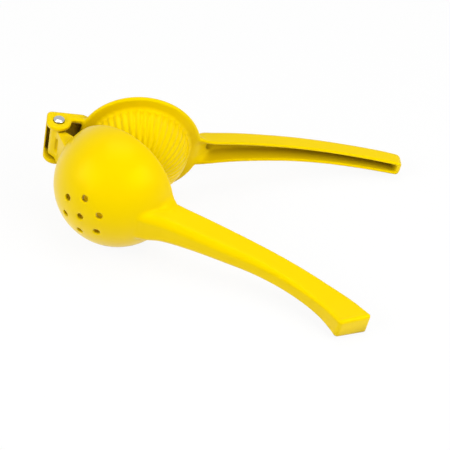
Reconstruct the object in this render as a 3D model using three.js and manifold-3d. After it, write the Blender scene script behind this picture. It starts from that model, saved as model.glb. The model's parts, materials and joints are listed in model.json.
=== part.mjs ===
// Hinged lemon squeezer lying on its side, opened part way.
// Lengths are in millimetres. Each lever is drawn in the frame of the closed tool: x runs from the hinge pin
// along the handles, y runs along the pin, and z = 0 is the plane where the press meets the bowl, press above.
// The finished tool stands in its own frame: +Z up, origin under the middle of its box, handles towards +X.

import * as THREE from 'three';
import { mergeVertices } from 'three/addons/utils/BufferGeometryUtils.js';
import Module from 'manifold-3d';

const wasm = await Module();
wasm.setup();

// Whole tool
const opening_angle = 35.1;
const head_radius = 38.4;
const hinge_offset = 12.4;
const head_reach = head_radius + hinge_offset;
const parting_gap = 0.6;
const assembly_gap = 0.3;
const cut_overrun = 12;

// Hinge pin and its cap
const pin_radius = 2.4;
const pin_head_radius = 3.3;
const pin_head_height = 1.5;
const cap_height = 2.6;
const cap_seat_depth = 1.4;
const crown_edge_share = 1 / 3;

// Hinge fork on the press lever
const fork_half_height = 15;
const lug_thickness = 3.2;
const lug_radius = 7.5;
const fork_back_height = 8.2;
const fork_back_round = 3.2;
const fork_web_thickness = 2;
const fork_end_wall = 1.2;
const fork_end_lip_height = 2.8;
const fork_root_inset = 5.5;
const fork_root_taper = 3.2;
const fork_shoulder_height = 6.6;
const arm_front_height = 1.9;

// Knuckle on the bowl lever
const knuckle_radius = 4.7;
const knuckle_inner_drop = 1.9;
const gusset_root_inset = 1.7;
const gusset_drop = 12.5;
const knuckle_groove_radius = 1.9;
const knuckle_groove_half_height = 5.8;
const knuckle_groove_place_share = 0.8;

// Bowl
const bowl_centre_drop = 6.2;
const bowl_wall = 3.4;
const rim_drop = 1.5;
const rim_round = 2.3;
const juice_hole_radius = 2.1;
const juice_hole_count = 6;
const juice_hole_polar_angle = 20;

// Press head
const flange_thickness = 3.3;
const flange_round = 1.6;
const flange_width = 7.4;
const dome_radius = head_radius - flange_width;
const dome_flattening = 1.5;
const dome_height = dome_radius - dome_flattening;
const press_wall = 3;
const rib_count = 42;
const rib_depth = 1;
const rib_valley_shares = [0, 0.3, 1, 0.3];

// Handles
const handle_half_width = 9;
const handle_wall = 1.8;
const handle_draft_share = 0.9;
const trough_floor_share = 0.55;
const trough_corner = 1.8;
const trough_shallow_end = 0.1;
const handle_floor = 2.6;
const handle_end_wall = 2.5;
const press_handle_reach = 219.6;
const press_handle_bow = 8.2;
const press_handle_crown = 19.4;
const press_handle_corner = 2.4;
const press_handle_tip_round = 3;
const press_handle_root_inset = 7;
const press_channel_start = 5;
const bowl_handle_reach = 224.4;
const bowl_handle_bow = 5.2;
const bowl_handle_depth = 34.5;
const bowl_handle_tail_lean = 12;
const bowl_handle_corner = 5;
const bowl_handle_tip_round = 2;
const bowl_handle_root_inset = 12;
const bowl_channel_start = 8;

// Facets
const bowl_sides = 60;
const flange_sides = 84;
const hole_sides = 14;
const pin_sides = 24;
const arc_steps = 10;
const corner_steps = 3;
const handle_steps = 15;
const settling_rounds = 10;

// Rows of the handles from root to tip. Each row holds shares of the handle's own sizes: the place along it,
// the edge that faces the other handle, the far edge, the lean of the row, the half width and the corner.
const press_handle_shares = [
  [0, 0.04, 0.2, 0, 1.3, 0.6],
  [0.05, 0.04, 0.5, 0, 1.17, 0.8],
  [0.11, 0.11, 0.66, 0, 1.01, 1],
  [0.22, 0.47, 0.815, 0, 0.9, 1],
  [0.37, 0.8, 0.935, 0, 0.79, 1],
  [0.51, 0.98, 1, 0, 0.7, 1],
  [0.66, 0.98, 0.99, 0, 0.63, 1],
  [0.8, 0.82, 0.925, 0, 0.59, 1],
  [0.91, 0.62, 0.84, 0, 0.565, 1],
  [1, 0.4, 0.725, 0, 0.54, 1],
];
const bowl_handle_shares = [
  [0, -1.06, -0.9, 0, 1.3, 1],
  [0.055, -1.06, -0.82, 0, 1.24, 1],
  [0.12, -0.85, -0.675, 0, 1.07, 1],
  [0.235, -0.21, -0.54, 0, 0.92, 1],
  [0.375, 0.38, -0.41, 0.02, 0.8, 0.9],
  [0.51, 0.81, -0.305, 0.18, 0.71, 0.75],
  [0.65, 1, -0.262, 0.38, 0.65, 0.6],
  [0.79, 0.86, -0.29, 0.64, 0.62, 0.45],
  [0.9, 0.54, -0.37, 0.82, 0.67, 0.35],
  [1, -0.23, -0.52, 1, 0.82, 0.4],
];

// Meshes and solids

// A closed three.js geometry as a solid for cutting and joining. Triangles folded flat at a pole are left out,
// and a skin drawn inside out is turned.
function toSolid(geometry) {
  const bare = geometry.clone();
  bare.deleteAttribute('normal');
  bare.deleteAttribute('uv');
  const merged = mergeVertices(bare);
  const corners = merged.index.array;
  const kept = [];
  for (let i = 0; i < corners.length; i += 3) {
    const [a, b, c] = corners.slice(i, i + 3);
    if (a !== b && b !== c && c !== a) kept.push(a, b, c);
  }
  const solid = solidOf(merged.attributes.position.array, kept);
  return solid.volume() < 0 ? solidOf(merged.attributes.position.array, kept.reverse()) : solid;
}

function solidOf(positions, faces) {
  return new wasm.Manifold(new wasm.Mesh({
    numProp: 3,
    vertProperties: new Float32Array(positions),
    triVerts: new Uint32Array(faces),
  }));
}

function toGeometry(solid) {
  const mesh = solid.getMesh();
  const geometry = new THREE.BufferGeometry();
  geometry.setAttribute('position', new THREE.BufferAttribute(new Float32Array(mesh.vertProperties), 3));
  geometry.setIndex(new THREE.BufferAttribute(new Uint32Array(mesh.triVerts), 1));
  return geometry;
}

function joined(solids) {
  return solids.reduce((whole, next) => whole.add(next));
}

// A solid of revolution about the upright line through (x, 0). The profile runs from its low end on the axis,
// round the outside, to its high end on the axis.
function turned(profile, sides, x) {
  const geometry = new THREE.LatheGeometry(profile, sides);
  geometry.rotateX(Math.PI / 2);
  geometry.translate(x, 0, 0);
  return toSolid(geometry);
}

// A plate with its outline in the x-z plane, centred on y = 0.
function plate(outline, half_height) {
  const geometry = new THREE.ExtrudeGeometry(outline, {
    depth: 2 * half_height,
    bevelEnabled: false,
    curveSegments: arc_steps,
  });
  geometry.rotateX(Math.PI / 2);
  geometry.translate(0, half_height, 0);
  return toSolid(geometry);
}

// A round bar along y, from y = low to y = high, with its axis through (x, z).
function bar(radius, low, high, sides, x = 0, z = 0) {
  const geometry = new THREE.CylinderGeometry(radius, radius, high - low, sides);
  geometry.translate(x, (low + high) / 2, z);
  return toSolid(geometry);
}

// The hole for the hinge pin, through both lugs and the knuckle.
function pinBore() {
  const end = fork_half_height + cut_overrun;
  return bar(pin_radius + assembly_gap, -end, end, pin_sides);
}

// A closed skin over a row of rings that all have the same number of points.
function skinned(rings) {
  const around = rings[0].length;
  const points = rings.flat();
  const faces = [];
  for (let row = 0; row < rings.length - 1; row += 1) {
    for (let i = 0; i < around; i += 1) {
      const a = row * around + i;
      const b = row * around + (i + 1) % around;
      faces.push(a, b, b + around, a, b + around, a + around);
    }
  }
  const last = (rings.length - 1) * around;
  for (let i = 1; i < around - 1; i += 1) {
    faces.push(0, i + 1, i);
    faces.push(last, last + i, last + i + 1);
  }
  const geometry = new THREE.BufferGeometry().setFromPoints(points);
  geometry.setIndex(faces);
  return toSolid(geometry);
}

// Points of a circular arc in a profile, with angles in degrees.
function arc(centre_x, centre_y, radius, from, to, steps) {
  const points = [];
  for (let i = 0; i <= steps; i += 1) {
    const angle = THREE.MathUtils.degToRad(from + (to - from) * i / steps);
    points.push(new THREE.Vector2(centre_x + radius * Math.cos(angle), centre_y + radius * Math.sin(angle)));
  }
  return points;
}

// Handles

// A handle's rows at even steps, read off smooth curves through its listed rows.
function handleRows(shares, size) {
  const inner = new THREE.SplineCurve(shares.map(([along, edge]) => new THREE.Vector2(
    size.root + along * (size.reach - size.root),
    edge * size.bow,
  )));
  const outer = new THREE.SplineCurve(shares.map(([along, , far, lean]) => new THREE.Vector2(
    size.root + along * (size.reach - size.root) - lean * size.lean,
    far * size.depth,
  )));
  const girth = new THREE.SplineCurve(shares.map(([, , , , half, corner]) => new THREE.Vector2(
    half * handle_half_width,
    corner * size.corner,
  )));
  const rows = [];
  for (let step = 0; step <= handle_steps; step += 1) {
    const t = step / handle_steps;
    const { x: half, y: corner } = girth.getPoint(t);
    rows.push({ inner: inner.getPoint(t), outer: outer.getPoint(t), half, corner, far_share: handle_draft_share });
  }
  return rows;
}

// One section of a handle: flat on the inner edge, drawn in towards the outer edge, with rounded corners there.
// A section with an overrun also stands straight up from its inner edge.
function handleSection(row) {
  const depth = row.inner.distanceTo(row.outer);
  const corner = Math.min(row.corner, row.half, depth);
  const place = (side, down) => {
    const point = row.inner.clone().lerp(row.outer, down / depth);
    const drawn = THREE.MathUtils.lerp(1, row.far_share, Math.max(0, down) / depth);
    return new THREE.Vector3(point.x, side * drawn, point.y);
  };
  const right = arc(row.half - corner, depth - corner, corner, 0, 90, corner_steps);
  right.unshift(new THREE.Vector2(row.half, 0));
  if (row.overrun) right.unshift(new THREE.Vector2(row.half, -row.overrun));
  return [...right.map((p) => place(p.x, p.y)), ...right.map((p) => place(-p.x, p.y)).reverse()];
}

// The last row drawn in by an inset on all four sides and moved along the handle.
function lastDrawnIn(rows, inset, shift) {
  const [before, row] = rows.slice(-2);
  const across = row.outer.clone().sub(row.inner).normalize();
  const inner_way = row.inner.clone().sub(before.inner).normalize();
  const outer_way = row.outer.clone().sub(before.outer).normalize();
  return {
    inner: row.inner.clone().addScaledVector(across, inset).addScaledVector(inner_way, shift),
    outer: row.outer.clone().addScaledVector(across, -inset).addScaledVector(outer_way, shift),
    half: row.half - inset,
    corner: Math.max(row.corner - inset, row.corner / 2),
    far_share: row.far_share,
  };
}

// The outside of a handle, with its tip rounded over.
function handleBody(rows, tip_round) {
  const rounded = [0, 45, 90].map((angle) => {
    const turn = THREE.MathUtils.degToRad(angle);
    return lastDrawnIn(rows, tip_round * (1 - Math.cos(turn)), tip_round * (Math.sin(turn) - 1));
  });
  return skinned([...rows.slice(0, -1), ...rounded].map(handleSection));
}

// The trough cut into a handle from its inner edge. It starts shallow, as a ramp, and ends at the end wall.
function handleTrough(rows, start) {
  const inside = rows.filter((row) => row.inner.x > start);
  const end = lastDrawnIn(inside, 0, -handle_end_wall);
  const floors = [...inside.slice(0, -1), end].map((row, index) => {
    const ramp = Math.min(1, index / 2);
    const depth = row.inner.distanceTo(row.outer) - handle_floor;
    const across = row.outer.clone().sub(row.inner).normalize();
    return {
      inner: row.inner,
      outer: row.inner.clone().addScaledVector(across, Math.max(trough_shallow_end, depth * ramp)),
      half: row.half - handle_wall,
      corner: trough_corner,
      far_share: trough_floor_share,
      overrun: cut_overrun,
    };
  });
  return skinned(floors.map(handleSection));
}

// Bowl lever

function bowlLever() {
  const rim_height = -parting_gap / 2 - rim_drop;
  const inner_radius = head_radius - bowl_wall;
  const rim_lift = rim_height + bowl_centre_drop;
  const rim_angle = THREE.MathUtils.radToDeg(Math.asin((rim_lift - rim_round) / (head_radius - rim_round)));
  const rim_round_x = (head_radius - rim_round) * Math.cos(THREE.MathUtils.degToRad(rim_angle));
  const shell = turned([
    ...arc(0, -bowl_centre_drop, head_radius, -90, rim_angle, 2 * arc_steps),
    ...arc(rim_round_x, rim_height - rim_round, rim_round, rim_angle, 90, corner_steps).slice(1),
    new THREE.Vector2(0, rim_height),
  ], bowl_sides, head_reach);
  const cavity = turned([
    ...arc(0, -bowl_centre_drop, inner_radius, -90, 0, arc_steps),
    new THREE.Vector2(inner_radius, cut_overrun),
    new THREE.Vector2(0, cut_overrun),
  ], bowl_sides, head_reach);

  const rows = handleRows(bowl_handle_shares, {
    root: head_reach + head_radius - bowl_handle_root_inset,
    reach: bowl_handle_reach,
    bow: bowl_handle_bow,
    depth: bowl_handle_depth,
    lean: bowl_handle_tail_lean,
    corner: bowl_handle_corner,
  });
  const trough_start = head_reach + head_radius + bowl_channel_start;

  const solid = joined([shell, handleBody(rows, bowl_handle_tip_round), knuckle()])
    .subtract(cavity)
    .subtract(handleTrough(rows, trough_start))
    .subtract(pinBore())
    .subtract(juiceHoles());
  return solid;
}

// The knuckle barrel and the gusset that carries it on the bowl, with the groove between them.
function knuckle() {
  const half_height = fork_half_height - lug_thickness - assembly_gap;
  const gusset_reach = hinge_offset + gusset_root_inset;
  const gusset = new THREE.Shape([
    new THREE.Vector2(0, -knuckle_inner_drop),
    new THREE.Vector2(0, -knuckle_radius),
    new THREE.Vector2(knuckle_radius / 2, -knuckle_radius),
    new THREE.Vector2(gusset_reach, -gusset_drop),
    new THREE.Vector2(gusset_reach + bowl_wall, -gusset_drop),
    new THREE.Vector2(gusset_reach + bowl_wall, -knuckle_inner_drop),
  ]);
  const groove = bar(
    knuckle_groove_radius,
    -knuckle_groove_half_height,
    knuckle_groove_half_height,
    hole_sides,
    knuckle_radius * knuckle_groove_place_share,
    -knuckle_radius - knuckle_groove_radius / 2,
  );
  return joined([bar(knuckle_radius, -half_height, half_height, pin_sides), plate(gusset, half_height)])
    .subtract(groove);
}

// Drills for the juice holes: one at the pole and a ring round it, each square to the bowl's wall.
function juiceHoles() {
  const length = head_radius + cut_overrun;
  const drills = [];
  for (let i = 0; i <= juice_hole_count; i += 1) {
    const drill = new THREE.CylinderGeometry(juice_hole_radius, juice_hole_radius, length, hole_sides);
    drill.rotateX(Math.PI / 2);
    drill.translate(0, 0, -length / 2);
    if (i > 0) {
      drill.rotateY(THREE.MathUtils.degToRad(juice_hole_polar_angle));
      drill.rotateZ(Math.PI / juice_hole_count * (2 * i + 1));
    }
    drill.translate(head_reach, 0, -bowl_centre_drop);
    drills.push(toSolid(drill));
  }
  return joined(drills);
}

// Press lever

function pressLever() {
  const face = parting_gap / 2;
  const back = face + flange_thickness;
  const edge = head_radius - flange_round;
  const flange = turned([
    new THREE.Vector2(0, face),
    ...arc(edge, face + flange_round, flange_round, -90, 0, corner_steps),
    ...arc(edge, back - flange_round, flange_round, 0, 90, corner_steps),
    new THREE.Vector2(0, back),
  ], flange_sides, head_reach);
  const hollow = turned([
    ...arc(0, 0, dome_radius - press_wall, -90, 0, arc_steps).map((p) => new THREE.Vector2(
      p.x,
      p.y * (dome_height - press_wall) / (dome_radius - press_wall),
    )),
    new THREE.Vector2(dome_radius - press_wall, cut_overrun + back),
    new THREE.Vector2(0, cut_overrun + back),
  ], bowl_sides, head_reach);

  const rows = handleRows(press_handle_shares, {
    root: head_reach + head_radius - press_handle_root_inset,
    reach: press_handle_reach,
    bow: press_handle_bow,
    depth: press_handle_crown,
    lean: 0,
    corner: press_handle_corner,
  });
  const trough_start = head_reach + head_radius - press_channel_start;

  return joined([flange, ribbedDome(), handleBody(rows, press_handle_tip_round)])
    .subtract(hollow)
    .subtract(handleTrough(rows, trough_start))
    .add(fork())
    .subtract(pinBore());
}

// The dome with a rib for every flute: round ribs with sharp valleys that fade out towards the pole.
function ribbedDome() {
  const around = rib_count * rib_valley_shares.length;
  const top = parting_gap / 2 + flange_thickness / 2;
  const ring = (polar, height, fade) => {
    const points = [];
    for (let i = 0; i < around; i += 1) {
      const azimuth = 2 * Math.PI * i / around;
      const cut = rib_depth * fade * rib_valley_shares[i % rib_valley_shares.length];
      const radius = dome_radius * Math.sin(polar) - cut * Math.sin(polar);
      const drop = height + cut * Math.cos(polar);
      points.push(new THREE.Vector3(
        head_reach + radius * Math.cos(azimuth),
        radius * Math.sin(azimuth),
        drop,
      ));
    }
    return points;
  };
  const rings = [ring(Math.PI / 2, top, 1)];
  for (let step = 0; step <= arc_steps - 2; step += 1) {
    const polar = Math.PI / 2 * (1 - step / (arc_steps - 1));
    rings.push(ring(polar, -dome_height * Math.cos(polar), Math.min(1, 2 * Math.sin(polar) ** 2)));
  }
  return skinned(rings.reverse());
}

// The fork: two lugs and a back web, wrapped round the knuckle's far side.
function fork() {
  const left = -lug_radius;
  const face = parting_gap / 2;
  const root = head_reach - head_radius + fork_root_inset;
  const outline = new THREE.Shape();
  outline.moveTo(root + fork_root_taper, face);
  outline.lineTo(root + fork_root_taper, face + flange_thickness);
  outline.lineTo(root, fork_shoulder_height);
  outline.lineTo(root - fork_root_taper, fork_back_height);
  outline.lineTo(left + fork_back_round, fork_back_height);
  outline.absarc(left + fork_back_round, fork_back_height - fork_back_round, fork_back_round, Math.PI / 2, Math.PI);
  outline.absarc(0, 0, lug_radius, Math.PI, 2 * Math.PI);
  outline.lineTo(lug_radius, arm_front_height);
  outline.lineTo(root - fork_root_taper / 2, arm_front_height);
  outline.lineTo(root, face);

  const pocket_top = fork_back_height - fork_web_thickness;
  const pocket_left = left + fork_end_wall;
  const far_left = left - cut_overrun;
  const far_below = -lug_radius - cut_overrun;
  const pocket = new THREE.Shape([
    new THREE.Vector2(far_left, far_below),
    new THREE.Vector2(root, far_below),
    new THREE.Vector2(root, pocket_top),
    new THREE.Vector2(pocket_left, pocket_top),
    new THREE.Vector2(pocket_left, fork_end_lip_height),
    new THREE.Vector2(far_left, fork_end_lip_height),
  ]);
  return plate(outline, fork_half_height).subtract(plate(pocket, fork_half_height - lug_thickness));
}

// Hinge pin

// The pin's domed head lies on the fork's near lug, and its shank ends inside the cap.
function hingePin() {
  const seat = fork_half_height + assembly_gap;
  const geometry = new THREE.LatheGeometry([
    new THREE.Vector2(0, -seat - pin_head_height),
    ...domeProfile(pin_head_radius, pin_head_height).map((p) => new THREE.Vector2(p.x, -seat - p.y)).reverse().slice(1),
    new THREE.Vector2(pin_radius, -seat),
    new THREE.Vector2(pin_radius, seat + cap_seat_depth - assembly_gap),
    new THREE.Vector2(0, seat + cap_seat_depth - assembly_gap),
  ], pin_sides);
  return toSolid(geometry);
}

// The cap is domed like the head and has a blind hole for the shank.
function hingePinCap() {
  const seat = fork_half_height + assembly_gap;
  const hole_radius = pin_radius + assembly_gap;
  const geometry = new THREE.LatheGeometry([
    new THREE.Vector2(0, seat + cap_seat_depth),
    new THREE.Vector2(hole_radius, seat + cap_seat_depth),
    new THREE.Vector2(hole_radius, seat),
    ...domeProfile(pin_head_radius, cap_height).map((p) => new THREE.Vector2(p.x, seat + p.y)),
  ], pin_sides);
  return toSolid(geometry);
}

// A low dome's outline from its foot to the axis, with an upright edge under the crown.
function domeProfile(radius, height) {
  const edge = height * crown_edge_share;
  const points = [new THREE.Vector2(radius, 0)];
  for (let i = 0; i <= arc_steps / 2; i += 1) {
    const angle = Math.PI * i / arc_steps;
    points.push(new THREE.Vector2(radius * Math.cos(angle), edge + (height - edge) * Math.sin(angle)));
  }
  points.at(-1).x = 0;
  return points;
}

// Assembly

const enamel = new THREE.MeshStandardMaterial({ color: 0xffd900, roughness: 0.3, metalness: 0 });
const enamel_press = enamel.clone();
const polished_steel = new THREE.MeshStandardMaterial({ color: 0xc9ccd0, roughness: 0.15, metalness: 1 });

function part(name, solid, material) {
  const mesh = new THREE.Mesh(toGeometry(solid), material);
  mesh.name = name;
  return mesh;
}

const bowl_side = new THREE.Group();
bowl_side.add(part('strainer_bowl_lever', bowlLever(), enamel));
bowl_side.rotation.y = THREE.MathUtils.degToRad(opening_angle);

const press_side = new THREE.Group();
press_side.add(part('press_lever', pressLever(), enamel_press));
press_side.add(part('hinge_pin', hingePin(), polished_steel));
press_side.add(part('hinge_pin_cap', hingePinCap(), polished_steel));

const tool = new THREE.Group();
tool.add(bowl_side, press_side);
tool.updateMatrixWorld(true);

// The corners of one lever that lie nearer to the pin than its middle, or further away.
function cornersOf(mesh, far) {
  const found = [];
  const positions = mesh.geometry.attributes.position;
  for (let i = 0; i < positions.count; i += 1) {
    const corner = new THREE.Vector3().fromBufferAttribute(positions, i);
    if (corner.x > press_handle_reach / 2 === far) found.push(corner.applyMatrix4(mesh.matrixWorld));
  }
  return found;
}

function lowest(corners, up) {
  return corners.reduce((low, corner) => (corner.dot(up) < low.dot(up) ? corner : low));
}

// The tool lies on three points: the side of the bowl, the side of the flange and the lower handle tip.
function restingUp() {
  const [bowl, press] = [bowl_side.children[0], press_side.children[0]];
  const tips = [...cornersOf(bowl, true), ...cornersOf(press, true)];
  const heads = [cornersOf(bowl, false), cornersOf(press, false)];
  const up = new THREE.Vector3(0, -1, 0);
  for (let round = 0; round < settling_rounds; round += 1) {
    const [a, b, c] = [...heads, tips].map((corners) => lowest(corners, up));
    up.crossVectors(b.clone().sub(a), c.clone().sub(a)).normalize();
    if (up.y > 0) up.negate();
  }
  return up;
}

const up = restingUp();
const half_opening = THREE.MathUtils.degToRad(opening_angle / 2);
const handles = new THREE.Vector3(Math.cos(half_opening), 0, -Math.sin(half_opening));
const forward = handles.addScaledVector(up, -handles.dot(up)).normalize();
const sideways = new THREE.Vector3().crossVectors(up, forward);
const laid = new THREE.Matrix4().makeBasis(forward, sideways, up).transpose();
tool.quaternion.setFromRotationMatrix(laid);

const squeezer = new THREE.Group();
squeezer.name = 'hinged_lemon_squeezer';
squeezer.add(tool);
squeezer.updateMatrixWorld(true);
const box = new THREE.Box3().setFromObject(squeezer, true);
tool.position.set(-(box.min.x + box.max.x) / 2, -(box.min.y + box.max.y) / 2, -box.min.z);

export default squeezer;
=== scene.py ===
"""Hinged lemon squeezer: the cast levers, the hinge pin, their finishes and a plain studio.

The levers are drawn as the closed tool's own castings, in millimetres: x runs from the hinge pin along the
handles, y runs along the pin, and z = 0 is the plane where the press meets the bowl, with the press above it.
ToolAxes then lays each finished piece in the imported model's frame, in metres, at the opening it has at rest.
"""

from __future__ import annotations

import json
import logging
import math
from collections.abc import Callable, Iterator, Sequence
from contextlib import contextmanager
from dataclasses import dataclass, field, replace
from enum import Enum

import bmesh
import bpy
import numpy as np
from mathutils import Matrix, Vector
from mathutils.kdtree import KDTree

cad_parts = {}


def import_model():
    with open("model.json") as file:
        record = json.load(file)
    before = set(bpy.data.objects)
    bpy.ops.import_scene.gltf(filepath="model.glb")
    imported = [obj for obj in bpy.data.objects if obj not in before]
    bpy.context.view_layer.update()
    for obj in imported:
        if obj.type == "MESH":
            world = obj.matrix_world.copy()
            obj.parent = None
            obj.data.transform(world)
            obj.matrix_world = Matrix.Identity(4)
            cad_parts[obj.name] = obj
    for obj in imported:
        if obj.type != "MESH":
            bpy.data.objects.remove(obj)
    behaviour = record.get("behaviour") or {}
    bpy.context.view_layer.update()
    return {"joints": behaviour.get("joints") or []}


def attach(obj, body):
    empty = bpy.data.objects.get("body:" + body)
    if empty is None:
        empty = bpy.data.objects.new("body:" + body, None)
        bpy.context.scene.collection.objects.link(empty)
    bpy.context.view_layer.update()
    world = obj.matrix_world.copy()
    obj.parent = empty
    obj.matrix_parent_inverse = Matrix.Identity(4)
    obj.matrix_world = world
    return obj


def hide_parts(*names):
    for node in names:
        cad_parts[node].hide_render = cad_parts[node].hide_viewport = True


LOG = logging.getLogger("lemon_squeezer")

METRES_PER_MM = 0.001
WELD_MM = 0.0001
CUT_OVERRUN = 12.0
EDGE_ANGLE = math.radians(30)
BAR_SIDES = 96
HEAD_SIDES = 384
ARC_STEPS = 60
CORNER_STEPS = 6
WEB_HOLD = 1.5
HANDLE_STEPS = 60


class Lever(Enum):
    """The two levers, with the sign of the half opening that turns each away from the middle."""

    BOWL = -1
    PRESS = 1


@dataclass(frozen=True)
class ToolAxes:
    """Where the closed tool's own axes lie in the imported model's frame."""

    pin: Vector
    axis: Vector
    opening: float

    @classmethod
    def from_joint(cls, joint: dict) -> ToolAxes:
        """Reads the hinge pin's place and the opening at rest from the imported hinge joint."""
        closing_angle = joint["range_deg"][0]
        return cls(Vector(joint["pos_m"]), Vector(joint["axis"]).normalized(), -math.radians(closing_angle))

    def matrix(self, lever: Lever) -> Matrix:
        """Gives the matrix from a closed lever's millimetres to its place at rest in metres.

        Args:
            lever: The lever whose half of the opening is turned.

        Returns:
            A matrix with the lever's length, the pin's direction downwards and the closing direction as axes.
        """
        middle = Vector((self.axis.z, 0.0, -self.axis.x)).normalized()
        along = Matrix.Rotation(lever.value * self.opening / 2, 3, self.axis) @ middle
        down = -self.axis
        axes = Matrix((along, down, along.cross(down))).transposed()
        return Matrix.Translation(self.pin) @ axes.to_4x4() @ Matrix.Scale(METRES_PER_MM, 4)


def deselect_all() -> None:
    """Deselects every object."""
    bpy.ops.object.select_all(action="DESELECT")


def activate(piece: bpy.types.Object) -> None:
    """Makes one piece the only selected object and the active one."""
    deselect_all()
    piece.select_set(True)
    bpy.context.view_layer.objects.active = piece


@contextmanager
def editing(piece: bpy.types.Object) -> Iterator[None]:
    """Opens a piece in edit mode with nothing selected, and closes it at the end."""
    activate(piece)
    bpy.ops.object.mode_set(mode="EDIT")
    bpy.ops.mesh.select_mode(type="VERT")
    bpy.ops.mesh.select_all(action="DESELECT")
    yield
    bpy.ops.object.mode_set(mode="OBJECT")


def turn_faces_out(piece: bpy.types.Object) -> None:
    """Welds doubled corners and turns every face outwards."""
    with editing(piece):
        bpy.ops.mesh.select_all(action="SELECT")
        bpy.ops.mesh.remove_doubles(threshold=WELD_MM)
        bpy.ops.mesh.normals_make_consistent(inside=False)


def apply_modifier(piece: bpy.types.Object, kind: str, **settings: object) -> None:
    """Adds a modifier with its settings and applies it.

    Args:
        piece: The object to change.
        kind: The modifier's type, such as BEVEL.
        settings: The modifier's properties.
    """
    activate(piece)
    modifier = piece.modifiers.new(kind.title(), kind)
    for name, value in settings.items():
        setattr(modifier, name, value)
    bpy.ops.object.modifier_apply(modifier=modifier.name)


def combine(piece: bpy.types.Object, tool: bpy.types.Object, operation: str) -> None:
    """Joins a solid to a piece, cuts it out or keeps what they share, and removes the solid that was used.

    Args:
        piece: The closed solid that is kept.
        tool: The closed solid that joins, cuts or bounds it.
        operation: UNION, DIFFERENCE or INTERSECT.
    """
    apply_modifier(piece, "BOOLEAN", operation=operation, object=tool, solver="MANIFOLD")
    bpy.data.objects.remove(tool)


def move_selected(piece: bpy.types.Object, start: Sequence[Vector], end: Sequence[Vector]) -> None:
    """Moves the selected corners of a piece in edit mode from one ring of places to another.

    Args:
        piece: The object that is being edited.
        start: Where the selected corners are now.
        end: Where each of them goes, in the same order.
    """
    mesh = bmesh.from_edit_mesh(piece.data)
    for corner in (vertex for vertex in mesh.verts if vertex.select):
        nearest = min(range(len(start)), key=lambda i: (start[i] - corner.co).length_squared)
        corner.co = end[nearest]
    bmesh.update_edit_mesh(piece.data)


def lofted(name: str, rings: Sequence[Sequence[Vector]]) -> bpy.types.Object:
    """Draws a closed solid through rings: a flat first ring, extruded from ring to ring.

    Args:
        name: The new object's name.
        rings: Rings of places, all with as many corners.

    Returns:
        The solid, with its ends closed.
    """
    deselect_all()
    bpy.ops.mesh.primitive_circle_add(vertices=len(rings[0]), fill_type="NGON")
    piece = bpy.context.object
    piece.name = name
    drawn = [vertex.co.copy() for vertex in piece.data.vertices]
    with editing(piece):
        bpy.ops.mesh.select_all(action="SELECT")
        move_selected(piece, drawn, rings[0])
        for behind, ahead in zip(rings, rings[1:]):
            bpy.ops.mesh.extrude_region()
            move_selected(piece, behind, ahead)
    turn_faces_out(piece)
    return piece


def turned(name: str, profile: Sequence[tuple[float, float]], steps: int, x: float) -> bpy.types.Object:
    """Spins a profile round the upright line at x.

    Args:
        name: The new object's name.
        profile: Radius and height of each corner, from the axis round to the axis.
        steps: How many facets go round.
        x: Where the line stands along the tool.

    Returns:
        The closed solid of revolution.
    """
    corners = [Vector((x + radius, 0.0, height)) for radius, height in profile]
    deselect_all()
    bpy.ops.mesh.primitive_plane_add()
    piece = bpy.context.object
    piece.name = name
    with editing(piece):
        bpy.ops.mesh.select_all(action="SELECT")
        bpy.ops.mesh.merge(type="CENTER")
        bpy.ops.transform.translate(value=corners[0])
        for here, there in zip(corners, corners[1:]):
            bpy.ops.mesh.extrude_region_move(TRANSFORM_OT_translate={"value": there - here})
        bpy.ops.mesh.select_all(action="SELECT")
        bpy.ops.mesh.spin(steps=steps, angle=math.tau, center=(x, 0.0, 0.0), axis=(0.0, 0.0, 1.0))
    turn_faces_out(piece)
    return piece


def evenly(start: float, end: float, steps: int) -> list[float]:
    """Gives evenly spaced values from start to end, both included."""
    return [start + (end - start) * i / steps for i in range(steps + 1)]


def arc(
    x: float, y: float, radius: float, start: float, end: float, steps: int = CORNER_STEPS
) -> list[tuple[float, float]]:
    """Gives the corners of an arc about (x, y), with its angles in degrees."""
    angles = [math.radians(a) for a in evenly(start, end, steps)]
    return [(x + radius * math.cos(a), y + radius * math.sin(a)) for a in angles]


def eased(piece: bpy.types.Object, width: float) -> bpy.types.Object:
    """Rounds a solid's sharp edges by a width and gives the solid back."""
    apply_modifier(
        piece,
        "BEVEL",
        width=width,
        segments=CORNER_STEPS,
        limit_method="ANGLE",
        angle_limit=EDGE_ANGLE,
        use_clamp_overlap=False,
    )
    return piece


def plate(name: str, outline: Sequence[tuple[float, float]], low: float, high: float) -> bpy.types.Object:
    """Draws a plate with its outline in the x-z plane, from y = low to y = high."""
    return lofted(name, [[Vector((x, side, z)) for x, z in outline] for side in (low, high)])


def web_edge(head: float, side: float, bend: float, drawn_in: float = 0.0) -> list[tuple[float, float]]:
    """Gives the rounded corner, in plan, between a round head at the origin and a side that leaves it."""
    away = side + bend
    reach = math.sqrt((head + bend) ** 2 - away**2)
    turn = math.degrees(math.atan2(away, reach))
    return arc(reach, away, bend + drawn_in, 180 + turn, 270, 2 * CORNER_STEPS)


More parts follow.
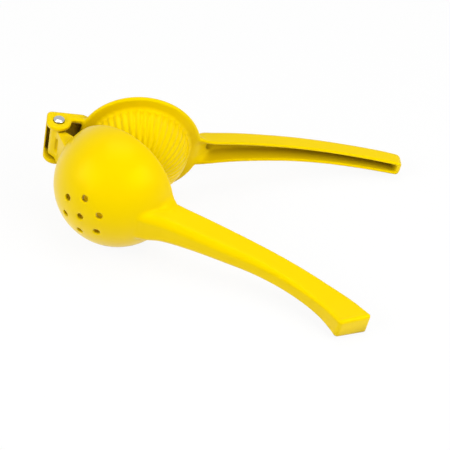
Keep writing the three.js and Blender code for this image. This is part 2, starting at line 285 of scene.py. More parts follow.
def root_webs(
    name: str, place: float, side: float, bend: float, levels: Sequence[tuple[float, float, float]]
) -> Iterator[bpy.types.Object]:
    """Draws the metal that rounds the two inner corners where straight sides leave a round head.

    Args:
        name: The new object's name.
        place: Where the head's middle lies along the tool.
        side: How far each straight side lies from the tool's middle plane.
        bend: The radius of the rounded corners, below 0 where the sides leave the head towards the hinge.
        levels: Heights, each with the head's radius there and how far the web's edge is drawn in.

    Returns:
        The web of either side, each a solid that reaches into the head and the side.
    """
    for mirror in (1, -1):
        rings = []
        for height, head, drawn_in in levels:
            edge = web_edge(head, side, abs(bend), drawn_in)
            (first_x, first_y), (last_x, last_y) = edge[0], edge[-1]
            inside = 1 - WEB_HOLD / math.hypot(first_x, first_y)
            outline = [(first_x * inside, first_y * inside), *edge, (last_x, last_y - WEB_HOLD)]
            rings.append([Vector((place + math.copysign(x, bend), mirror * y, height)) for x, y in outline])
        yield lofted(name, rings)


def bar(name: str, radius: float, half_length: float, x: float = 0.0, z: float = 0.0) -> bpy.types.Object:
    """Draws a round bar along y with its axis through (x, z)."""
    deselect_all()
    bpy.ops.mesh.primitive_cylinder_add(
        vertices=BAR_SIDES,
        radius=radius,
        depth=2 * half_length,
        location=(x, 0.0, z),
        rotation=(math.pi / 2, 0.0, 0.0),
    )
    piece = bpy.context.object
    piece.name = name
    bpy.ops.object.transform_apply(location=True, rotation=True, scale=True)
    return piece


@dataclass(frozen=True)
class Station:
    """One listed section of a handle, in shares of the handle's own sizes."""

    along: float
    edge: float
    far: float
    lean: float
    half: float
    corner: float


@dataclass(frozen=True)
class Section:
    """One section of a handle in millimetres: its two edges in the x-z plane, its half width and corners."""

    inner: Vector
    outer: Vector
    half: float
    corner: float
    edge_round: float
    far_share: float

    @property
    def depth(self) -> float:
        """The distance from the edge that faces the other handle to the far edge."""
        return (self.outer - self.inner).length

    @property
    def across(self) -> Vector:
        """The direction from the edge that faces the other handle to the far edge."""
        return (self.outer - self.inner).normalized()

    def whole(self, right: Sequence[tuple[float, float]]) -> list[Vector]:
        """Gives a section's corners from its right half, drawn in below the open edge as the draft does.

        Args:
            right: Places on the right half, each with its distance to the side and down from the open edge.

        Returns:
            The right half's places and their mirror images, in the tool's own axes.
        """
        ring = []
        for side, down in (*right, *[(-side, down) for side, down in reversed(right)]):
            point = self.inner + self.across * down
            drawn = 1 + (self.far_share - 1) * max(0.0, down) / self.depth
            ring.append(Vector((point.x, side * drawn, point.y)))
        return ring

    def ring(self) -> list[Vector]:
        """Gives the outside of the handle: lightly rounded at the open edge and rounder at the far edge."""
        corner = min(self.corner, self.half, self.depth / 2)
        edge = min(self.edge_round, self.depth / 2)
        return self.whole([
            *arc(self.half - edge, edge, edge, -90, 0),
            *arc(self.half - corner, self.depth - corner, corner, 0, 90),
        ])

    def cut_ring(self) -> list[Vector]:
        """Gives the channel's cut, flared where it rounds the rim's inner edge and straight past the rim."""
        corner = min(self.corner, self.half, self.depth / 2)
        edge = min(self.edge_round, self.depth / 2)
        return self.whole([
            (self.half + edge, -CUT_OVERRUN),
            *arc(self.half + edge, edge, edge, -90, -180),
            *arc(self.half - corner, self.depth - corner, corner, 0, 90),
        ])

    def moved(self, shift: float, behind: Section, inset: float = 0.0) -> Section:
        """Gives the section moved along the handle's own edges and drawn in on all four sides.

        Args:
            shift: How far it moves towards the tip.
            behind: The section behind this one, which shows which way each edge runs.
            inset: How far each side is drawn in.

        Returns:
            The moved section.
        """
        inner_way = (self.inner - behind.inner).normalized()
        outer_way = (self.outer - behind.outer).normalized()
        return replace(
            self,
            inner=self.inner + self.across * inset + inner_way * shift,
            outer=self.outer - self.across * inset + outer_way * shift,
            half=self.half - inset,
            corner=max(self.corner - inset, self.corner / 2),
        )

    def cut_to(self, depth: float) -> Section:
        """Gives the section with another depth."""
        return replace(self, outer=self.inner + self.across * depth)


def spline(points: Sequence[Vector], t: float) -> Vector:
    """Reads a smooth Catmull-Rom curve through points at a share of its length in points."""
    at = t * (len(points) - 1)
    i = min(int(at), len(points) - 2)
    w = at - i
    before, here, there, after = (points[max(0, min(len(points) - 1, i + k))] for k in (-1, 0, 1, 2))
    pull = (there - before) / 2
    push = (after - here) / 2
    return (2 * w**3 - 3 * w**2 + 1) * here + (w**3 - 2 * w**2 + w) * pull \
        + (3 * w**2 - 2 * w**3) * there + (w**3 - w**2) * push


@dataclass(frozen=True)
class Handle:
    """A cast handle: an open channel towards the other handle, a rounded back and a closed tip."""

    name: str
    root: float
    reach: float
    bow: float
    depth: float
    lean: float
    corner: float
    tip_round: float
    channel_start: float
    stations: tuple[Station, ...]
    channel_ramp: float = 13.0
    half_width: float = 9.0
    wall: float = 1.8
    rim_edge: float = 0.8
    floor: float = 2.6
    end_wall: float = 2.5
    end_slope: float = 0.25
    channel_corner: float = 1.8
    draft_share: float = 0.9
    floor_share: float = 0.55
    least_cut: float = 0.02

    def sections(self) -> list[Section]:
        """Gives the handle's sections at even steps, read off smooth curves through the stations."""
        length = self.reach - self.root
        inner = [Vector((self.root + s.along * length, s.edge * self.bow)) for s in self.stations]
        outer = [
            Vector((self.root + s.along * length - s.lean * self.lean, s.far * self.depth))
            for s in self.stations
        ]
        girth = [Vector((s.half * self.half_width, s.corner * self.corner)) for s in self.stations]
        rows = []
        for t in evenly(0, 1, HANDLE_STEPS):
            half, corner = spline(girth, t)
            rows.append(Section(
                spline(inner, t), spline(outer, t), half, corner, self.rim_edge, self.draft_share
            ))
        return rows

    def body(self) -> bpy.types.Object:
        """Draws the outside of the handle with its tip rounded over."""
        *rows, tip = self.sections()
        turns = [math.radians(a) for a in evenly(0, 90, CORNER_STEPS)]
        size = self.tip_round
        rounded = [tip.moved(size * (math.sin(a) - 1), rows[-1], size * (1 - math.cos(a))) for a in turns]
        behind = [row for row in rows if row.inner.x < rounded[0].inner.x and row.outer.x < rounded[0].outer.x]
        return lofted(f"{self.name}_body", [row.ring() for row in (*behind, *rounded)])

    def channel_depth(self, row: Section) -> float:
        """Gives the channel's depth at a section: a ramp from its start, then all but the floor."""
        share = min(1.0, (row.inner.x - self.channel_start) / self.channel_ramp)
        return max(self.least_cut, (row.depth - self.floor) * share)

    def channel(self) -> bpy.types.Object:
        """Draws the solid that cuts the channel: a ramp at its start and a leaning wall at its end."""
        *rows, tip = [
            replace(row, half=row.half - self.wall, corner=self.channel_corner, far_share=self.floor_share)
            for row in self.sections() if row.inner.x > self.channel_start
        ]
        end = tip.moved(-self.end_wall, rows[-1])
        deep = self.channel_depth(end)
        bend, edge = self.channel_corner, self.rim_edge
        foot = -edge - self.end_slope * (deep - bend - edge) - bend
        cuts = [row.cut_to(self.channel_depth(row)) for row in rows if row.inner.x < end.inner.x + foot]
        for shift, depth in (*arc(foot, deep - bend, bend, 90, 0), *arc(0.0, edge, edge, 180, 270)):
            cuts.append(tip.moved(shift - self.end_wall, rows[-1]).cut_to(max(self.least_cut, depth)))
        return lofted(f"{self.name}_channel", [cut.cut_ring() for cut in cuts])


PRESS_STATIONS = (
    Station(0, 0.04, 0.2, 0, 1.3, 0.6),
    Station(0.05, 0.04, 0.5, 0, 1.17, 0.8),
    Station(0.11, 0.11, 0.66, 0, 1.01, 1),
    Station(0.22, 0.47, 0.815, 0, 0.9, 1),
    Station(0.37, 0.8, 0.935, 0, 0.79, 1),
    Station(0.51, 0.98, 1, 0, 0.7, 1),
    Station(0.66, 0.98, 0.99, 0, 0.63, 1),
    Station(0.8, 0.82, 0.925, 0, 0.59, 1),
    Station(0.91, 0.62, 0.84, 0, 0.565, 1),
    Station(1, 0.4, 0.725, 0, 0.54, 1),
)
BOWL_STATIONS = (
    Station(0, -1.06, -0.9, 0, 1.3, 1),
    Station(0.055, -1.06, -0.82, 0, 1.24, 1),
    Station(0.12, -0.85, -0.675, 0, 1.07, 1),
    Station(0.235, -0.21, -0.54, 0, 0.92, 1),
    Station(0.375, 0.38, -0.41, 0.02, 0.8, 0.9),
    Station(0.51, 0.81, -0.305, 0.18, 0.71, 0.75),
    Station(0.65, 1, -0.262, 0.38, 0.65, 0.6),
    Station(0.79, 0.86, -0.29, 0.64, 0.62, 0.45),
    Station(0.9, 0.54, -0.37, 0.82, 0.67, 0.35),
    Station(1, -0.23, -0.52, 1, 0.82, 0.4),
)


@dataclass(frozen=True)
class ToolSizes:
    """Sizes in millimetres that several pieces share."""

    head_radius: float = 38.4
    hinge_offset: float = 12.4
    parting_gap: float = 0.6
    running_gap: float = 0.3
    pin_radius: float = 2.4
    fork_half_height: float = 15.0
    lug_thickness: float = 3.2
    knuckle_radius: float = 4.7

    @property
    def head_reach(self) -> float:
        """The distance from the hinge pin to the middle of the bowl and of the dome."""
        return self.head_radius + self.hinge_offset

    @property
    def head_edge(self) -> float:
        """The distance from the hinge pin to the far edge of the bowl and of the flange."""
        return self.head_reach + self.head_radius

    def pin_bore(self) -> bpy.types.Object:
        """Draws the solid that drills the pin's hole."""
        return bar("pin_bore", self.pin_radius + self.running_gap, self.fork_half_height + CUT_OVERRUN)


@dataclass(frozen=True)
class CastSkin:
    """How a joined casting becomes one smooth skin whose inner corners are filleted."""

    voxel: float = 0.665
    passes: int = 5
    fillet_reach: float = 2.0
    fillet_passes: int = 38
    last_passes: int = 2
    inner_angle: float = math.radians(-20)

    def inner_corners(self, solid: bpy.types.Object) -> list[Vector]:
        """Gives places all along a solid's concave edges."""
        mesh = bmesh.new()
        mesh.from_mesh(solid.data)
        places = []
        for edge in mesh.edges:
            if edge.is_manifold and edge.calc_face_angle_signed() < self.inner_angle:
                start, end = (corner.co.copy() for corner in edge.verts)
                steps = max(1, round((end - start).length / self.voxel))
                places += [start.lerp(end, share) for share in evenly(0, 1, steps)]
        mesh.free()
        return places

    def weigh(self, piece: bpy.types.Object, corners: Sequence[Vector]) -> None:
        """Keeps a vertex group that is whole along some places and fades away from them.

        Args:
            piece: The object whose skin is weighed.
            corners: The places.
        """
        tree = KDTree(len(corners))
        for i, place in enumerate(corners):
            tree.insert(place, i)
        tree.balance()
        away = np.array([tree.find(corner.co)[2] for corner in piece.data.vertices])
        share = np.clip(2 - 2 * away / self.fillet_reach, 0, 1)
        weights = share * share * (3 - 2 * share)
        group = piece.vertex_groups.new(name="fillets")
        for i in np.flatnonzero(weights):
            group.add([int(i)], float(weights[i]), "REPLACE")

    def finish(self, piece: bpy.types.Object, is_filleted: Callable[[Vector], bool]) -> None:
        """Remeshes a casting, fillets its inner corners and lays the rest of the skin on its true shape.

        Args:
            piece: The joined casting.
            is_filleted: Says whether an inner corner's place is rounded.
        """
        activate(piece)
        bpy.ops.object.duplicate()
        true_shape = bpy.context.object
        corners = [place for place in self.inner_corners(true_shape) if is_filleted(place)]
        apply_modifier(piece, "REMESH", mode="VOXEL", voxel_size=self.voxel, use_smooth_shade=True)
        self.weigh(piece, corners)
        apply_modifier(piece, "SMOOTH", factor=0.5, iterations=self.passes)
        apply_modifier(piece, "SMOOTH", factor=0.5, iterations=self.fillet_passes, vertex_group="fillets")
        apply_modifier(
            piece, "SHRINKWRAP", target=true_shape, vertex_group="fillets", invert_vertex_group=True
        )
        apply_modifier(piece, "SHRINKWRAP", target=true_shape, wrap_mode="OUTSIDE")
        apply_modifier(piece, "SMOOTH", factor=0.5, iterations=self.last_passes)
        bpy.data.objects.remove(true_shape)


@dataclass(frozen=True)
class BowlLever:
    """The lower lever: the bowl with its juice holes, the knuckle of the hinge and the lower handle."""

    tool: ToolSizes
    skin: CastSkin
    centre_drop: float = 6.2
    wall: float = 3.4
    rim_drop: float = 1.5
    rim_round: float = 2.3
    rim_edge: float = 0.8
    hole_radius: float = 2.1
    hole_edge: float = 0.4
    hole_count: int = 6
    hole_polar_angle: float = math.radians(20)
    knuckle_inner_drop: float = 1.9
    knuckle_edge: float = 0.6
    gusset_root_inset: float = 1.7
    gusset_drop: float = 12.5
    groove_radius: float = 1.9
    groove_half_height: float = 5.8
    groove_place_share: float = 0.8
    handle_root_inset: float = 12.0
    channel_start: float = 8.0
    web_side: float = 9.8
    web_bend: float = 8.0
    saddle_low: float = -4.8
    saddle_turn: float = 40.0
    saddle_depth: float = 3.0
    web_levels: tuple[tuple[float, float], ...] = (
        (-5.0, 0.8), (-5.25, 0.3), (-5.8, 0.0), (-12.0, 0.0), (-16.0, 0.9), (-20.0, 2.2), (-22.0, 4.0),
    )

    @property
    def rim(self) -> float:
        """The height of the bowl's rim."""
        return -self.tool.parting_gap / 2 - self.rim_drop

    def handle(self) -> Handle:
        """Gives the lower handle, which leaves the bowl's side and leans out at its tip."""
        return Handle(
            name="bowl_handle",
            root=self.tool.head_edge - self.handle_root_inset,
            reach=224.4,
            bow=5.2,
            depth=34.5,
            lean=12.0,
            corner=5.0,
            tip_round=2.0,
            channel_start=self.tool.head_edge + self.channel_start,
            stations=BOWL_STATIONS,
        )

    def shell(self) -> bpy.types.Object:
        """Draws the bowl's outside with its rim rounded over."""
        radius = self.tool.head_radius
        small = radius - self.rim_round
        rim_angle = math.asin((self.rim + self.centre_drop - self.rim_round) / small)
        turn = math.degrees(rim_angle)
        profile = [
            *arc(0, -self.centre_drop, radius, -90, turn, ARC_STEPS),
            *arc(small * math.cos(rim_angle), self.rim - self.rim_round, self.rim_round, turn, 90)[1:],
            (0.0, self.rim),
        ]
        return turned("bowl_shell", profile, HEAD_SIDES, self.tool.head_reach)

    def cavity(self) -> bpy.types.Object:
        """Draws the solid that hollows the bowl and rounds the rim's inner edge."""
        radius = self.tool.head_radius - self.wall
        edge = self.rim_edge
        profile = [
            *arc(0, -self.centre_drop, radius, -90, 0, ARC_STEPS),
            *arc(radius + edge, self.rim - edge, edge, 180, 90),
            (radius + edge, CUT_OVERRUN),
            (0.0, CUT_OVERRUN),
        ]
        return turned("bowl_cavity", profile, HEAD_SIDES, self.tool.head_reach)

    def knuckle(self) -> bpy.types.Object:
        """Draws the hinge barrel and the gusset that carries it, with the groove between them."""
        tool = self.tool
        radius = tool.knuckle_radius
        half_height = tool.fork_half_height - tool.lug_thickness - tool.running_gap
        reach = tool.hinge_offset + self.gusset_root_inset
        gusset = plate("gusset", [
            (0.0, -self.knuckle_inner_drop),
            (0.0, -radius),
            (radius / 2, -radius),
            (reach, -self.gusset_drop),
            (reach + self.wall, -self.gusset_drop),
            (reach + self.wall, -self.knuckle_inner_drop),
        ], -half_height, half_height)
        barrel = eased(bar("knuckle", radius, half_height), self.knuckle_edge)
        combine(barrel, eased(gusset, self.knuckle_edge), "UNION")
        groove = bar(
            "groove",
            self.groove_radius,
            self.groove_half_height,
            radius * self.groove_place_share,
            -radius - self.groove_radius / 2,
        )
        combine(barrel, groove, "DIFFERENCE")
        return barrel

    def juice_holes(self) -> Iterator[bpy.types.Object]:
        """Draws the drills for the juice holes, one at the pole and a ring round it, with eased mouths."""
        mouth = self.tool.head_radius
        edge = self.hole_edge
        profile = [
            (0.0, -mouth / 2),
            (self.hole_radius, -mouth / 2),
            *arc(self.hole_radius + edge, edge - mouth, edge, 180, 270),
            (self.hole_radius + edge, -mouth - CUT_OVERRUN),
            (0.0, -mouth - CUT_OVERRUN),
        ]
        centre = Matrix.Translation((self.tool.head_reach, 0.0, -self.centre_drop))
        turns = [Matrix.Identity(4)]
        for i in range(self.hole_count):
            azimuth = math.pi / self.hole_count * (2 * i + 1)
            turns.append(Matrix.Rotation(azimuth, 4, "Z") @ Matrix.Rotation(self.hole_polar_angle, 4, "Y"))
        for turn in turns:
            drill = turned("juice_hole", profile, BAR_SIDES // 2, 0.0)
            activate(drill)
            drill.matrix_world = centre @ turn
            bpy.ops.object.transform_apply(location=True, rotation=True, scale=True)
            yield drill

    def webs(self) -> Iterator[bpy.types.Object]:
        """Draws the webs that round the corners between the bowl and the handle, deepest at the rim."""
        levels = [
            (height, math.sqrt(self.tool.head_radius**2 - (height + self.centre_drop) ** 2), drawn_in)
            for height, drawn_in in self.web_levels
        ]
        return root_webs("bowl_web", self.tool.head_reach, self.web_side, self.web_bend, levels)

    def saddle(self) -> bpy.types.Object:
        """Draws the saddle on which the handle's open edge runs up to the bowl's rim, between the webs."""
        tool = self.tool
        small = tool.head_radius - self.rim_round
        turn = math.radians(self.saddle_turn)
        top = self.rim - self.rim_round * (1 - math.cos(turn))
        bend = (top - self.saddle_low) / (1 - math.cos(turn))
        end = small + (self.rim_round + bend) * math.sin(turn)
        foot = self.saddle_low - self.saddle_depth
        curve = arc(end, self.saddle_low + bend, bend, 270, 270 - self.saddle_turn)
        saddle = turned(
            "saddle", [(0.0, foot), (end, foot), *curve, (0.0, top)], HEAD_SIDES, tool.head_reach
        )
        edge = web_edge(tool.head_radius, self.web_side, self.web_bend)
        edge.append((end + WEB_HOLD, self.web_side))
        outline = [*edge, *[(x, -y) for x, y in reversed(edge)]]
        sides = lofted("saddle_sides", [
            [Vector((tool.head_reach + x, y, height)) for x, y in outline] for height in (foot - WEB_HOLD, 0.0)
        ])
        combine(saddle, sides, "INTERSECT")
        return eased(saddle, self.rim_edge)

    def is_filleted(self, place: Vector) -> bool:
        """Says whether an inner corner lies on the bowl or the knuckle."""
        return place.x < self.tool.head_edge + self.channel_start / 2

    def build(self) -> bpy.types.Object:
        """Joins, hollows and smooths the casting.

        Returns:
            The finished lever in its closed place, in millimetres.
        """
        handle = self.handle()
        piece = self.shell()
        combine(piece, handle.body(), "UNION")
        for web in (*self.webs(), self.saddle()):
            combine(piece, web, "UNION")
        combine(piece, self.knuckle(), "UNION")
        combine(piece, self.cavity(), "DIFFERENCE")
        combine(piece, handle.channel(), "DIFFERENCE")
        combine(piece, self.tool.pin_bore(), "DIFFERENCE")
        for drill in self.juice_holes():
            combine(piece, drill, "DIFFERENCE")
        self.skin.finish(piece, self.is_filleted)
        return piece


@dataclass(frozen=True)
class PressLever:
    """The upper lever: the fluted dome in its flange, the fork of the hinge and the upper handle."""

    tool: ToolSizes
    skin: CastSkin
    flange_thickness: float = 3.3
    flange_round: float = 1.6
    flange_width: float = 7.4
    dome_flattening: float = 1.5
    wall: float = 3.0
    rib_count: int = 42
    rib_depth: float = 1.0
    rib_steps: int = 10
    valley_sharpness: float = 2.0
    dome_skin_share: float = 0.98
    level_normal: float = 0.9
    lug_radius: float = 7.5
    fork_back_height: float = 8.2
    fork_back_round: float = 3.2
    fork_web_thickness: float = 2.0
    fork_end_wall: float = 1.2
    fork_end_lip_height: float = 2.8
    fork_root_inset: float = 5.5
    fork_root_taper: float = 3.2
    fork_shoulder_height: float = 6.6
    fork_edge: float = 1.0
    fork_hold: float = 1.6
    arm_front_height: float = 1.9
    handle_root_inset: float = 7.0
    channel_start: float = 5.0
    ejector_radius: float = 3.4
    ejector_reach: float = 7.2
    ejector_bite: float = 0.6
    handle_web_side: float = 10.5
    handle_web_bend: float = 4.0
    arm_web_bend: float = 8.0

    @property
    def face(self) -> float:
        """The height of the flange's face above the parting plane."""
        return self.tool.parting_gap / 2

    @property
    def dome_radius(self) -> float:
        """The fluted dome's radius where it leaves the flange."""
        return self.tool.head_radius - self.flange_width

    def handle(self) -> Handle:
        """Gives the upper handle, which leaves the flange's edge and bows away from the lower one."""
        return Handle(
            name="press_handle",
            root=self.tool.head_edge - self.handle_root_inset,
            reach=219.6,
            bow=8.2,
            depth=19.4,
            lean=0.0,
            corner=2.4,
            tip_round=3.0,
            channel_start=self.tool.head_edge - self.channel_start,
            stations=PRESS_STATIONS,
        )

    def flange(self) -> bpy.types.Object:
        """Draws the flange as a disc with a round edge."""
        back = self.face + self.flange_thickness
        edge = self.tool.head_radius - self.flange_round
        return turned("flange", [
            (0.0, self.face),
            *arc(edge, self.face + self.flange_round, self.flange_round, -90, 0),
            *arc(edge, back - self.flange_round, self.flange_round, 0, 90),
            (0.0, back),
        ], HEAD_SIDES, self.tool.head_reach)

    def dome(self) -> bpy.types.Object:
        """Draws the fluted dome: round ribs between narrow valleys that fade towards the pole."""
        radius = self.dome_radius
        top = self.face + self.flange_thickness / 2
        deselect_all()
        bpy.ops.mesh.primitive_uv_sphere_add(
            segments=self.rib_count * self.rib_steps, ring_count=2 * ARC_STEPS, radius=radius
        )
        dome = bpy.context.object
        dome.name = "dome"
        with editing(dome):
            bpy.ops.mesh.select_all(action="SELECT")
            bpy.ops.mesh.bisect(plane_co=(0, 0, 0), plane_no=(0, 0, 1), use_fill=True, clear_outer=True)
        places = np.empty(len(dome.data.vertices) * 3)
        dome.data.vertices.foreach_get("co", places)
        places = places.reshape(-1, 3)
        sine = np.clip(np.hypot(places[:, 0], places[:, 1]) / radius, 0, 1)
        azimuth = np.arctan2(places[:, 1], places[:, 0])
        valley = (0.5 + 0.5 * np.cos(azimuth * self.rib_count)) ** self.valley_sharpness
        on_skin = sine**2 + (places[:, 2] / radius) ** 2 > self.dome_skin_share
        cut = np.where(on_skin, self.rib_depth * valley * np.minimum(1, 2 * sine**2), 0)
        places *= (1 - cut / radius)[:, None]
        places[:, 2] *= (radius - self.dome_flattening) / radius
        places += (self.tool.head_reach, 0.0, 0.0)
        dome.data.vertices.foreach_set("co", places.ravel())
        with editing(dome):
            mesh = bmesh.from_edit_mesh(dome.data)
            for face in mesh.faces:
                face.select_set(face.normal.z > self.level_normal)
            bmesh.update_edit_mesh(dome.data)
            bpy.ops.mesh.extrude_region_move(TRANSFORM_OT_translate={"value": (0, 0, top)})
        turn_faces_out(dome)
        return dome

    def hollow(self) -> bpy.types.Object:
        """Draws the solid that hollows the dome from behind."""
        radius = self.dome_radius - self.wall
        depth = radius - self.dome_flattening
        bowl = [(r, z * depth / radius) for r, z in arc(0, 0, radius, -90, 0, ARC_STEPS)]
        top = self.face + self.flange_thickness + CUT_OVERRUN
        return turned("dome_hollow", [*bowl, (radius, top), (0.0, top)], HEAD_SIDES, self.tool.head_reach)

    def fork(self) -> bpy.types.Object:
        """Draws the hinge fork: two lugs, and the web and end wall that join them round the knuckle."""
        tool = self.tool
        left = -self.lug_radius
        root = tool.hinge_offset + self.fork_root_inset
        back = self.fork_back_height
        corner = arc(left + self.fork_back_round, back - self.fork_back_round, self.fork_back_round, 90, 180)
        lug = [
            (root + self.fork_root_taper, self.face),
            (root + self.fork_root_taper, self.face + self.flange_thickness),
            (root, self.fork_shoulder_height),
            (root - self.fork_root_taper, back),
            *corner,
            *arc(0, 0, self.lug_radius, 180, 360, ARC_STEPS),
            (self.lug_radius, self.arm_front_height),
            (root - self.fork_root_taper / 2, self.arm_front_height),
            (root, self.face),
        ]
        inside = tool.fork_half_height - tool.lug_thickness
        fork = eased(plate("upper_lug", lug, -tool.fork_half_height, -inside), self.fork_edge)
        lower = eased(plate("lower_lug", lug, inside, tool.fork_half_height), self.fork_edge)
        combine(fork, lower, "UNION")
        wall = left + self.fork_end_wall
        web = back - self.fork_web_thickness
        bridge = plate("fork_web", [
            (root, self.fork_shoulder_height),
            (root - self.fork_root_taper, back),
            *corner,
            (left, self.fork_end_lip_height),
            (wall, self.fork_end_lip_height),
            (wall, web),
            (root, web),
        ], -inside - self.fork_hold, inside + self.fork_hold)
        combine(fork, bridge, "UNION")
        return fork

    def ejector_mark(self, handle: Handle) -> bpy.types.Object:
        """Draws the solid that leaves the flat round mark of the mould's ejector in the channel's start."""
        x = self.tool.head_edge + self.ejector_reach
        row = min(handle.sections(), key=lambda section: abs(section.inner.x - x))
        floor = row.inner.y + handle.channel_depth(row) + self.ejector_bite
        radius = self.ejector_radius
        profile = [(0.0, -CUT_OVERRUN), (radius, -CUT_OVERRUN), (radius, floor), (0.0, floor)]
        return turned("ejector_mark", profile, BAR_SIDES, x)

    def webs(self) -> Iterator[bpy.types.Object]:
        """Draws the webs that round the corners between the flange and the handle, and the arms."""
        tool = self.tool
        levels = [
            (self.face + height, tool.head_radius, self.flange_round - out)
            for out, height in arc(0, self.flange_thickness / 2, self.flange_round, -90, 90, 2 * CORNER_STEPS)
        ]
        yield from root_webs("handle_web", tool.head_reach, self.handle_web_side, self.handle_web_bend, levels)
        upper = levels[CORNER_STEPS:]
        yield from root_webs("arm_web", tool.head_reach, tool.fork_half_height, -self.arm_web_bend, upper)

    def is_filleted(self, place: Vector) -> bool:
        """Says whether an inner corner lies on the fork or the flange."""
        return place.z > self.face - self.rib_depth and place.x < self.tool.head_edge

    def build(self) -> bpy.types.Object:
        """Joins, hollows and smooths the casting.

        Returns:
            The finished lever in its closed place, in millimetres.
        """
        handle = self.handle()
        piece = self.flange()
        for web in self.webs():
            combine(piece, web, "UNION")
        combine(piece, self.dome(), "UNION")
        combine(piece, handle.body(), "UNION")
        combine(piece, self.hollow(), "DIFFERENCE")
        combine(piece, handle.channel(), "DIFFERENCE")
        combine(piece, self.ejector_mark(handle), "DIFFERENCE")
        combine(piece, self.fork(), "UNION")
        combine(piece, self.tool.pin_bore(), "DIFFERENCE")
        self.skin.finish(piece, self.is_filleted)
        return piece


@dataclass(frozen=True)
class HingePin:
    """The polished pin with its low domed head, and the cap that is pressed on its far end."""

    tool: ToolSizes
    head_radius: float = 3.3
    head_height: float = 1.5
    cap_height: float = 2.6
    cap_seat_depth: float = 1.4
    crown_edge_share: float = 1 / 3

    @property
    def seat(self) -> float:
        """The distance from the tool's middle plane to the faces under the head and the cap."""
        return self.tool.fork_half_height + self.tool.running_gap

    def crown(self, height: float) -> list[tuple[float, float]]:
        """Gives a low dome's outline from its foot to the axis, above an upright edge."""
        edge = height * self.crown_edge_share
        dome = [(r, edge + (height - edge) * z) for r, z in arc(0, 0, 1, 0, 90, ARC_STEPS // 2)]
        return [(self.head_radius, 0.0), *[(self.head_radius * r, z) for r, z in dome[:-1]], (0.0, height)]

    def laid(self, name: str, profile: Sequence[tuple[float, float]]) -> bpy.types.Object:
        """Turns a profile on the lathe and lays it along the hinge, its head upwards."""
        piece = turned(name, profile, BAR_SIDES, 0.0)
        activate(piece)
        piece.matrix_world = Matrix.Rotation(math.pi / 2, 4, "X")
        bpy.ops.object.transform_apply(location=True, rotation=True, scale=True)
        bpy.ops.object.shade_smooth_by_angle(angle=EDGE_ANGLE)
        return piece

    def pin(self) -> bpy.types.Object:
        """Turns the pin with its head."""
        end = -self.seat - self.cap_seat_depth + self.tool.running_gap
        return self.laid("pin", [
            (0.0, end),
            (self.tool.pin_radius, end),
            (self.tool.pin_radius, self.seat),
            *[(r, self.seat + z) for r, z in self.crown(self.head_height)],
        ])

    def cap(self) -> bpy.types.Object:
        """Turns the cap with its blind hole."""
        hole = self.tool.pin_radius + self.tool.running_gap
        return self.laid("cap", [
            *[(r, -self.seat - z) for r, z in reversed(self.crown(self.cap_height))],
            (hole, -self.seat),
            (hole, -self.seat - self.cap_seat_depth),
            (0.0, -self.seat - self.cap_seat_depth),
        ])


def add_node(
    tree: bpy.types.NodeTree, kind: str, inputs: dict | None = None, **settings: object
) -> bpy.types.Node:
    """Adds one node with its settings, and sets or links its inputs.

    Args:
        tree: The material's or world's node tree.
        kind: The node's type.
        inputs: Socket names or numbers, each with a value or with the output that feeds it.
        settings: The node's properties.

    Returns:
        The new node.
    """
    node = tree.nodes.new(kind)
    for name, value in settings.items():
        setattr(node, name, value)
    for socket, value in (inputs or {}).items():
        if isinstance(value, bpy.types.NodeSocket):
            tree.links.new(value, node.inputs[socket])
        else:
            node.inputs[socket].default_value = value
    return node


def linear(hex_colour: str) -> tuple[float, float, float, float]:
    """Turns an sRGB hex colour into linear red, green, blue and alpha."""
    shares = [int(hex_colour[i:i + 2], 16) / 255 for i in (1, 3, 5)]
    r, g, b = (c / 12.92 if c <= 0.04045 else ((c + 0.055) / 1.055) ** 2.4 for c in shares)
    return (r, g, b, 1.0)


def empty_material(name: str) -> tuple[bpy.types.Material, bpy.types.NodeTree]:
    """Makes a node material with nothing in it."""
    material = bpy.data.materials.new(name)
    material.use_nodes = True
    material.node_tree.nodes.clear()
    return material, material.node_tree


def seen_or_mirrored(tree: bpy.types.NodeTree) -> bpy.types.NodeSocket:
    """Gives 1 for rays from the camera, a mirror or glass, and 0 for light that is scattered."""
    path = add_node(tree, "ShaderNodeLightPath")
    seen = path.outputs["Is Camera Ray"]
    for ray in ("Is Glossy Ray", "Is Transmission Ray"):
        seen = add_node(tree, "ShaderNodeMath", {0: seen, 1: path.outputs[ray]}, operation="MAXIMUM").outputs[0]
    return seen


